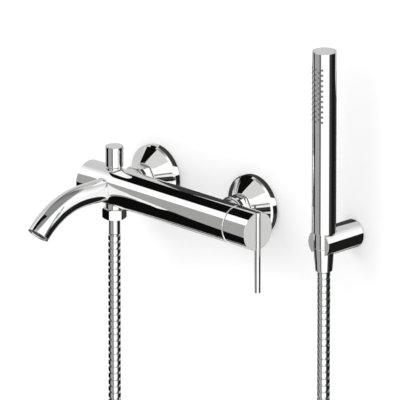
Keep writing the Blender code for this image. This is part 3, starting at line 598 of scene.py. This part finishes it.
def make_aerator():
    mouth, ahead = spout_place(SPOUT_LENGTH)
    place = along(ahead, mouth)
    housing = [
        (9, -1.2, 0.2),
        (10.6, -1.2, 0.2),
        (10.6, -8),
        (7, -8),
        (7, -6.5),
        (9, -6.5),
    ]
    ring = mesh_object("aerator_ring", turned(housing, place))
    piece(ring, CHROME, "mixer", ["aerator_housing"])
    insert = mesh_object("aerator_honeycomb", honeycomb(8.6, 1.7, 0.18))
    thick = insert.modifiers.new("thick", "SOLIDIFY")
    thick.thickness = 2.4 * MM
    thick.offset = 0
    apply_modifiers(insert)
    insert.data.transform(along(ahead, mouth - ahead * 3.9))
    piece(insert, MATERIALS["dark_plastic"], "mixer", ["aerator_insert"])


def honeycomb(radius, pitch, wall):
    """The walls of a flat honeycomb inside a circle, as a sheet that is given its thickness later."""
    shape = bmesh.new()
    corner = (pitch / math.sqrt(3)) * MM
    rows = int(radius / pitch) + 2
    for row in range(-rows, rows + 1):
        for column in range(-rows, rows + 1):
            x = (column + 0.5 * (row % 2)) * pitch
            y = row * pitch * math.sqrt(3) / 2
            if math.hypot(x, y) > radius - pitch * 0.55:
                continue
            ring = []
            for side in range(6):
                angle = math.tau * (side + 0.5) / 6
                spot = (x * MM + corner * math.cos(angle), y * MM + corner * math.sin(angle), 0)
                ring.append(shape.verts.new(spot))
            shape.faces.new(ring)
    bmesh.ops.remove_doubles(shape, verts=shape.verts, dist=0.02 * MM)
    cells = bmesh.ops.inset_individual(shape, faces=shape.faces[:], thickness=wall * MM)
    inner = [face for face in shape.faces if face not in set(cells["faces"])]
    bmesh.ops.delete(shape, geom=inner, context="FACES_ONLY")
    return shape


def hexagon_nut(name, across_flats, low, high, place, first=0.0, chamfer=0.9, extra=()):
    """A six sided nut: a hexagonal bar whose ends are turned down to a chamfer."""
    corner = across_flats / 2 / math.cos(math.pi / 6)
    nut = mesh_object(name, turned(rod(corner, low, high), place, 6, first))
    lathe = [
        (0, low),
        (corner - chamfer, low),
        (corner + 0.1, low + chamfer * 0.6),
        (corner + 0.1, high - chamfer * 0.6),
        (corner - chamfer, high),
        (0, high),
    ]
    combine(nut, "INTERSECT", [turned(lathe, place)])
    if extra:
        combine(nut, "UNION", list(extra))
    bevel(nut, 0.22)
    return nut


def make_inlets():
    for name, x in (("hot", -INLET_X), ("cold", INLET_X)):
        place = inlet_axis(x)
        rose = [
            (11, -21),
            (17.5, -21, 0.5),
            (33, -8.3, 0.5),
            (34.7, -6.4, 0.5),
            (34.7, 0, 0.2),
            (31.9, 0),
            (31.9, -6.9),
            (16.4, -19.4),
            (11, -19.4),
        ]
        cone = mesh_object(f"rose_cone_{name}", turned(rose, place, EXTRA_FINE))
        piece(cone, CHROME, "mixer", [f"wall_rose_{name}"])
        collar = turned([(0, -36.1), (17.4, -36.1, 0.4), (17.4, -31.5), (0, -31.5)], place)
        nut = hexagon_nut(f"union_hexagon_{name}", 30, -33, -21.7, place, extra=[collar])
        bores = [turned(rod(13.3, -38, -27.9), place), turned(rod(10.7, -29, -20), place)]
        combine(nut, "DIFFERENCE", bores)
        piece(nut, CHROME, "mixer", [f"union_nut_{name}"])
        union = mesh_object(f"union_pipe_{name}", threaded_pipe(place))
        piece(union, MATERIALS["brass"], "mixer", [f"union_{name}"])


def threaded_pipe(place):
    """The brass union: a flange in the nut, then a pipe with an outside thread, for the wall."""
    sides, pitch, depth = COARSE, 1.814, 1.0
    start, end, crest = -16.0, 17.4, 10.3
    flange = [(7, -30.7), (12.8, -30.7), (12.8, -28.2), (9.4, -28.2), (9.4, start)]
    tip = [(9.2, 18), (7, 18)]
    steps = int((end - start) / pitch * 10)
    threads = [start + (end - start) * step / steps for step in range(steps + 1)]
    rings = [[station] * sides for station in flange]
    for height in threads:
        fade = min(1.0, (height - start) / pitch, (end - height) / pitch)
        ring = []
        for side in range(sides):
            phase = (height / pitch + side / sides) % 1.0
            cut = depth * (1 - abs(2 * phase - 1))
            ring.append((crest - 0.9 + (0.9 - cut) * max(fade, 0.0), height))
        rings.append(ring)
    rings += [[station] * sides for station in tip]
    points = []
    for ring in rings:
        row = []
        for side, (radius, height) in enumerate(ring):
            angle = math.tau * side / sides
            spot = Vector((radius * math.cos(angle), radius * math.sin(angle), height))
            row.append(place @ (spot * MM))
        points.append(row)
    return loft(points, closed=True)


def make_cap_and_rod():
    radius, first, last, steps = 24, 51.6, 38.7, 12
    dome = []
    for step in range(steps + 1):
        turn = math.radians(first - (first - last) * step / steps)
        dome.append((radius * math.sin(turn), PIVOT_X + radius * math.cos(turn)))
    skirt = [(17.6, 105.5), (18.8, 105.5)] + dome + [(14.2, 110.4), (17.6, 107.0)]
    cover = mesh_object("cartridge_dome", turned(skirt, body_axis()))
    piece(cover, CHROME, "mixer", ["cartridge_cover"])

    shell = [
        (0, 124),
        (20.3, 124),
        (20.3, 109.5, 0.2),
        (BODY_RADIUS, 109.5, 0.45),
        (BODY_RADIUS, 142, 0.45),
        (0, 142),
    ]
    cap = mesh_object("handle_cap_shell", turned(shell, body_axis(), EXTRA_FINE))
    rod_axis = upright_axis(ROD_X, BODY_Y)
    socket = [(0, 122), (4.95, 122), (4.95, 134), (0, 134)]
    grub = along(Y_AXIS, (129, BODY_Y, 0))
    cuts = [
        turned(rod(ROD_RADIUS + 0.3, -30, 30), rod_axis),
        turned(socket, body_axis(), 4, math.pi / 4),
        turned(rod(2.8, 3, 30), grub, COARSE),
    ]
    for side in (-1, 1):
        cuts.append(turned(rod(3.1, 122, 127.5), body_axis(0, 13 * side), COARSE))
    combine(cap, "DIFFERENCE", cuts)
    true_normals(cap, [((0, BODY_Y, 0), X_AXIS, BODY_RADIUS)])
    piece(cap, CHROME, "lever", ["handle_cap"])

    bar = [(0, -70.5), (ROD_RADIUS, -70.5, 0.5), (ROD_RADIUS, 21.5, 0.5), (0, 21.5)]
    piece(mesh_object("lever_bar", turned(bar, rod_axis)), CHROME, "lever", ["lever_rod"])


def make_diverter():
    axis = upright_axis(OUTLET_X, BODY_Y)
    bush = [(3.3, 8.3), (6.7, 8.3), (6.7, 19.7), (8.7, 19.7), (8.7, 22.7, 0.5), (3.3, 22.7, 0.3)]
    piece(mesh_object("diverter_collar", turned(bush, axis)), CHROME, "mixer", ["diverter_bush"])
    knob = [
        (0, 40),
        (3.3, 40),
        (3.3, 23.2, 0.3),
        (10, 23.2, 0.8),
        (10, 46.4, 0.35),
        (0, 46.4),
    ]
    piece(mesh_object("diverter_button", turned(knob, axis)), CHROME, "diverter", ["diverter_knob"])
    make_spring(turns=3.5, coil=4.4, wire=0.45, low=-3.15, high=7.55)


def make_spring(turns, coil, wire, low, high):
    """The diverter's return spring under the bush, made as a fixed coil that does not close up as the knob
    is lifted.
    """
    steps = round(turns * 48)
    rings = []
    for step in range(steps + 1):
        turn = math.tau * turns * step / steps
        out = Vector((math.cos(turn), math.sin(turn), 0))
        centre = Vector((OUTLET_X, BODY_Y, low + (high - low) * step / steps)) + out * coil
        rings.append(circle(centre * MM, out, Z_AXIS, wire * MM, 12))
    spring = mesh_object("diverter_coil", loft(rings))
    spring.data.materials.append(MATERIALS["steel"])
    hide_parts("diverter_spring")
    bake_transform(spring)


def make_hose_ends():
    axis = upright_axis(OUTLET_X, BODY_Y)
    turn = math.radians(-10)
    nut = hexagon_nut("hose_nut_hexagon", 23.4, -36.3, -25, axis, first=turn, chamfer=1.2)
    bores = [turned(rod(6.1, -38, -30), axis), turned(rod(10.3, -35.1, -20), axis)]
    combine(nut, "DIFFERENCE", bores)
    piece(nut, CHROME, "mixer", ["mixer_hose_nut"])
    ferrule = [
        (4.2, -54),
        (6.65, -54, 0.4),
        (6.65, -36.6),
        (5.8, -36.6),
        (5.8, -34.8),
        (9.7, -34.8),
        (9.7, -34),
        (4.2, -34),
    ]
    piece(mesh_object("hose_sleeve", turned(ferrule, axis)), CHROME, "mixer", ["mixer_hose_ferrule"])


# ---------------------------------------------------------------- hand shower


def make_handset():
    axis = upright_axis(HANDSET_X, HANDSET_Y)
    tube = [
        (HANDSET_BORE, HANDSET_BOTTOM),
        (HANDSET_RADIUS, HANDSET_BOTTOM, 0.3),
        (HANDSET_RADIUS, HANDSET_TOP, 0.3),
        (HANDSET_BORE, HANDSET_TOP),
    ]
    barrel = mesh_object("handset_barrel", turned(tube, axis, EXTRA_FINE))
    piece(barrel, CHROME, "handset", ["handset_tube"])
    lid = [(0, HANDSET_TOP - 4), (11.55, HANDSET_TOP - 4), (11.55, HANDSET_TOP, 0.25), (0, HANDSET_TOP)]
    piece(mesh_object("handset_lid", turned(lid, axis)), CHROME, "handset", ["handset_top_cap"])
    neck = [(6, -9.5), (9.3, -9.5), (9.3, -1.8), (11.4, -1.8, 0.3), (11.4, 23.5), (6, 23.5)]
    piece(mesh_object("handset_shank", turned(neck, axis)), CHROME, "handset", ["handset_neck"])
    nut = [
        (7.3, -28.4, 0.3),
        (9.3, -28.4, 0.6),
        (11.2, -2.1, 0.4),
        (9.6, -2.1),
        (9.6, -13),
        (8.3, -13),
        (8.3, -25.5),
        (7.3, -25.5),
    ]
    piece(mesh_object("cone_nut_shell", turned(nut, axis)), CHROME, "handset", ["handset_hose_nut"])
    make_nozzles()


def make_nozzles():
    """A soft nozzle in each hole of the tube: a collar that fills the hole, and a small hollow tip."""
    columns, rows, pitch, top_drop = 5, 11, 5.9, 18.1
    step = math.radians(17)
    tip = [
        (0, 11.9),
        (1.3, 11.9),
        (1.3, 13.36, 0.08),
        (0.95, 13.4),
        (0.85, 13.88, 0.12),
        (0.32, 13.95),
        (0.3, 13.5),
        (0, 13.5),
    ]
    whole = bmesh.new()
    for column in range(columns):
        turn = (column - (columns - 1) / 2) * step
        ahead = Vector((math.sin(turn), -math.cos(turn), 0))
        for row in range(rows - column % 2):
            height = HANDSET_TOP - top_drop - (row + 0.5 * (column % 2)) * pitch
            part = turned(tip, along(ahead, (HANDSET_X, HANDSET_Y, height)), 20)
            mesh = bpy.data.meshes.new("nozzle")
            part.to_mesh(mesh)
            part.free()
            whole.from_mesh(mesh)
            bpy.data.meshes.remove(mesh)
    nozzles = mesh_object("spray_nozzles", whole)
    piece(nozzles, MATERIALS["silicone"], "handset", ["nozzle_insert"])


def make_bracket():
    place = along(Y_AXIS, (HANDSET_X, 0, BRACKET_Z))
    bar = [(0, -54.4), (BRACKET_RADIUS, -54.4, 0.4), (BRACKET_RADIUS, -0.3, 0.2), (0, -0.3)]
    body = mesh_object("bracket_bar", turned(bar, place, EXTRA_FINE))
    seat = [(0, -16), (12.6, -16), (12.6, 15.2), (13.6, 15.2), (13.6, 26), (0, 26)]
    grub = along(Z_AXIS, (HANDSET_X, -7, 0))
    cuts = [
        turned(seat, upright_axis(HANDSET_X, HANDSET_Y)),
        turned(rod(12.5, -14, 2), place),
        turned(rod(2.3, -14, -5), grub, COARSE),
    ]
    combine(body, "DIFFERENCE", cuts)
    true_normals(body, [((HANDSET_X, 0, BRACKET_Z), Y_AXIS, BRACKET_RADIUS)])
    piece(body, CHROME, "mixer", ["bracket_body"])


# ---------------------------------------------------------------- carried-over CAD nodes

KEPT_NODES = {
    "plastic": (
        "check_valve_hot",
        "check_valve_cold",
        "cartridge_housing",
        "cartridge_rotor",
        "bracket_liner",
        "bracket_anchor",
    ),
    "rubber": (
        "plug_seal",
        "inlet_washer_hot",
        "inlet_washer_cold",
        "spout_seal",
        "cartridge_base_seal",
        "diverter_washer",
        "mixer_hose_washer",
        "handset_hose_washer",
    ),
    "brass": ("cartridge_retaining_ring", "diverter_stem", "outlet_nipple"),
    "ceramic": ("cartridge_fixed_disc", "cartridge_moving_disc"),
    "steel": (
        "rotor_pin",
        "spindle",
        "rod_screw_upper",
        "rod_screw_lower",
        "cap_grub_screw",
        "bracket_mount",
        "bracket_screw",
        "bracket_grub_screw",
    ),
    "chrome": ("handset_hose_ferrule",),
}


def finish_kept_nodes():
    for finish, names in KEPT_NODES.items():
        for name in names:
            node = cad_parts[name]
            node.data.materials.clear()
            node.data.materials.append(MATERIALS[finish])


# ---------------------------------------------------------------- studio


def front_only(tree, shader, out):
    """Shows the shader on a surface's front and nothing on its back."""
    mix = tree.nodes.new("ShaderNodeMixShader")
    clear = tree.nodes.new("ShaderNodeBsdfTransparent")
    side = tree.nodes.new("ShaderNodeNewGeometry")
    tree.links.new(side.outputs["Backfacing"], mix.inputs["Fac"])
    tree.links.new(shader, mix.inputs[1])
    tree.links.new(clear.outputs["BSDF"], mix.inputs[2])
    tree.links.new(mix.outputs["Shader"], out.inputs["Surface"])


def one_sided(name, colour):
    """A pale matt surface that is seen only from its front."""
    material = bpy.data.materials.new(name)
    material.use_nodes = True
    tree = material.node_tree
    tree.nodes.clear()
    out = tree.nodes.new("ShaderNodeOutputMaterial")
    matt = tree.nodes.new("ShaderNodeBsdfDiffuse")
    matt.inputs["Color"].default_value = (*colour, 1)
    front_only(tree, matt.outputs["BSDF"], out)
    return material


def panel(name, corners, material):
    """A flat sheet through its corners, in metres, for the studio."""
    mesh = bpy.data.meshes.new(name)
    mesh.from_pydata([Vector(corner) for corner in corners], [], [tuple(range(len(corners)))])
    obj = bpy.data.objects.new(name, mesh)
    obj.data.materials.append(material)
    bpy.context.scene.collection.objects.link(obj)
    return obj


def glow(name, strength):
    """A surface that gives off an even grey light, whatever falls on it."""
    material = bpy.data.materials.new(name)
    material.use_nodes = True
    tree = material.node_tree
    tree.nodes.clear()
    out = tree.nodes.new("ShaderNodeOutputMaterial")
    light = tree.nodes.new("ShaderNodeEmission")
    light.inputs["Color"].default_value = (1, 1, 0.985, 1)
    light.inputs["Strength"].default_value = strength
    front_only(tree, light.outputs["Emission"], out)
    return material


def card(name, corners, strength):
    """A studio card, which is seen only from its front and only in what the metal reflects.

    Its corners run anticlockwise as seen from that front."""
    obj = panel(name, corners, glow(name, strength))
    obj.visible_camera = False
    obj.visible_diffuse = False
    obj.visible_shadow = False
    obj.visible_transmission = False
    return obj


def facing_wall(y, left, right, low, high):
    """The corners of an upright card whose front is towards the wall."""
    return [(left, y, low), (left, y, high), (right, y, high), (right, y, low)]


def facing_room(y, left, right, low, high):
    """The corners of an upright card whose front is away from the wall."""
    return facing_wall(y, right, left, low, high)


def facing_left(x, near, far, low, high):
    """The corners of an upright card that stands out from the wall, with its front to the left."""
    return [(x, near, low), (x, near, high), (x, far, high), (x, far, low)]


def facing_right(x, near, far, low, high):
    """The corners of an upright card that stands out from the wall, with its front to the right."""
    return facing_left(x, far, near, low, high)


def add_cards():
    # Over the mixer on the left: the dark band along the body's top. Its back is to the spout.
    fan = [
        (-0.154, -0.106, 0.107),
        (-0.136, -0.009, 0.0767),
        (-0.83, 0.784, 1.2333),
        (-1.108, -0.661, 1.6967),
    ]
    card("card_top", fan, BLACK)
    # In front: grey at the height of the mixer, black low on the left, and a grey card with a dark edge
    # behind them.
    card("card_front", facing_wall(-0.6, -0.68, 0.03, -0.165, 0.37), 0.4)
    card("card_front_left", facing_wall(-0.6, -2.3, -0.457, -2.2, -0.165), BLACK)
    card("card_front_side", facing_wall(-0.6, -2.3, -0.68, -0.165, 0), BLACK)
    card("card_far_grey", facing_wall(-1.18, -1.4, 0.165, -1.6, -0.1), 0.4)
    card("card_far_strip", facing_wall(-1.18, 0.165, 0.5, -1.6, -0.1), 0.15)
    # On the right and behind: dark below the height of the mixer.
    card("card_right", facing_left(0.34, -0.048, 0.006, -0.5, 0.2), 0.05)
    card("card_back", facing_room(1.5, 0.55, 6.5, -3.5, 0.02), 0.012)
    # On the left and low: the dark left edge of the hose.
    card("card_hose_side", facing_right(-0.3, -0.2, 0.05, -0.6, -0.13), BLACK)
    # Far behind and low: dark.
    card("card_back_low", facing_room(1.5, -0.1, 0.55, -3.5, -0.5), 0.012)
    # A pale card for the end of the handle, and a small dark one for the mouth of the spout.
    card("card_cap", facing_left(0.2, -0.026, 0.021, -0.052, -0.005), 0.7)
    mouth = [(-0.0975, -0.2), (-0.078, -0.172), (-0.0725, -0.172), (-0.0815, -0.2)]
    card("card_spout", [(x, y, -0.005) for x, y in mouth], BLACK)
    add_rose_cards("left", -2 * INLET_X * MM)
    add_rose_cards("right", 0)


def add_rose_cards(name, shift):
    """The small cards that one rose reflects, given for the right one: dark, grey and dark again."""
    y = -0.036
    dark = [(-0.012, 0.03), (-0.03, 0.09), (0.065, 0.078), (0.052, 0.03)]
    grey = [(0.052, 0.03), (0.065, 0.078), (0.085, 0.068), (0.113, 0.043), (0.092, 0.026)]
    side = [(0.3015, 0.2, -0.12), (0.3015, 0.2, 0.12), (0.075, 0.003, 0.12), (0.075, 0.003, -0.12)]
    card("card_rose_dark_" + name, [(x + shift, y, z) for x, z in dark], BLACK)
    card("card_rose_grey_" + name, [(x + shift, y, z) for x, z in grey], 0.75)
    card("card_rose_side_" + name, [(x + shift, y, z) for x, y, z in side], 0.05)


def add_studio():
    """A pale wall behind the faucet, a pale floor, the cards, and a soft light on the left."""
    white = (0.86, 0.86, 0.86)
    wall_y, floor_z = 0.0003, -0.66
    square = [
        (-SHEET_REACH, -SHEET_REACH),
        (SHEET_REACH, -SHEET_REACH),
        (SHEET_REACH, SHEET_REACH),
        (-SHEET_REACH, SHEET_REACH),
    ]
    wall = panel("studio_wall", [(x, wall_y, z) for x, z in square], one_sided("wall", white))
    floor = panel("studio_floor", [(x, y, floor_z) for x, y in square], one_sided("floor", white))
    for sheet in (wall, floor):
        sheet.visible_glossy = False
    add_cards()
    key = bpy.data.objects.new("key_light", bpy.data.lights.new("key_light", "AREA"))
    bpy.context.scene.collection.objects.link(key)
    key.data.shape = "DISK"
    key.data.size = 1.2
    key.data.energy = 12
    key.location = (-1.3, -2.0, 1.6)
    key.rotation_euler = (Vector((0.08, 0, 0)) - key.location).to_track_quat("-Z", "Y").to_euler()
    key.visible_glossy = False
    add_world()


def add_world():
    """White for the camera and even light on matt surfaces.

    What the metal reflects is a studio that is white in front and on the right, grey on the left and
    behind, and dark straight overhead."""
    world = bpy.data.worlds.new("studio")
    bpy.context.scene.world = world
    world.use_nodes = True
    tree = world.node_tree
    tree.nodes.clear()
    out = tree.nodes.new("ShaderNodeOutputWorld")
    back = tree.nodes.new("ShaderNodeBackground")
    path = tree.nodes.new("ShaderNodeLightPath")
    place = tree.nodes.new("ShaderNodeTexCoord")
    side = tree.nodes.new("ShaderNodeVectorMath")
    side.operation = "DOT_PRODUCT"
    side.inputs[1].default_value = (0.6, -0.8, 0)
    tree.links.new(place.outputs["Generated"], side.inputs[0])
    parts = tree.nodes.new("ShaderNodeSeparateXYZ")
    tree.links.new(place.outputs["Generated"], parts.inputs["Vector"])
    around = map_range(tree, side.outputs["Value"], -0.45, -0.15, 0.66, 1.15)
    overhead = map_range(tree, parts.outputs["Z"], 0.76, 0.86, 1, 0.25)
    both = tree.nodes.new("ShaderNodeMath")
    both.operation = "MULTIPLY"
    tree.links.new(around, both.inputs[0])
    tree.links.new(overhead, both.inputs[1])
    choose = tree.nodes.new("ShaderNodeMix")
    choose.inputs["A"].default_value = ROOM_LIGHT
    tree.links.new(path.outputs["Is Glossy Ray"], choose.inputs["Factor"])
    tree.links.new(both.outputs["Value"], choose.inputs["B"])
    tree.links.new(choose.outputs["Result"], back.inputs["Strength"])
    tree.links.new(back.outputs["Background"], out.inputs["Surface"])
    back.inputs["Color"].default_value = (1, 1, 1, 1)


add_camera()
make_hose()
make_mixer_body()
make_left_plug()
make_spout()
make_inlets()
make_cap_and_rod()
make_diverter()
make_hose_ends()
make_handset()
make_bracket()
finish_kept_nodes()
add_studio()
bpy.context.scene.view_settings.view_transform = "Standard"
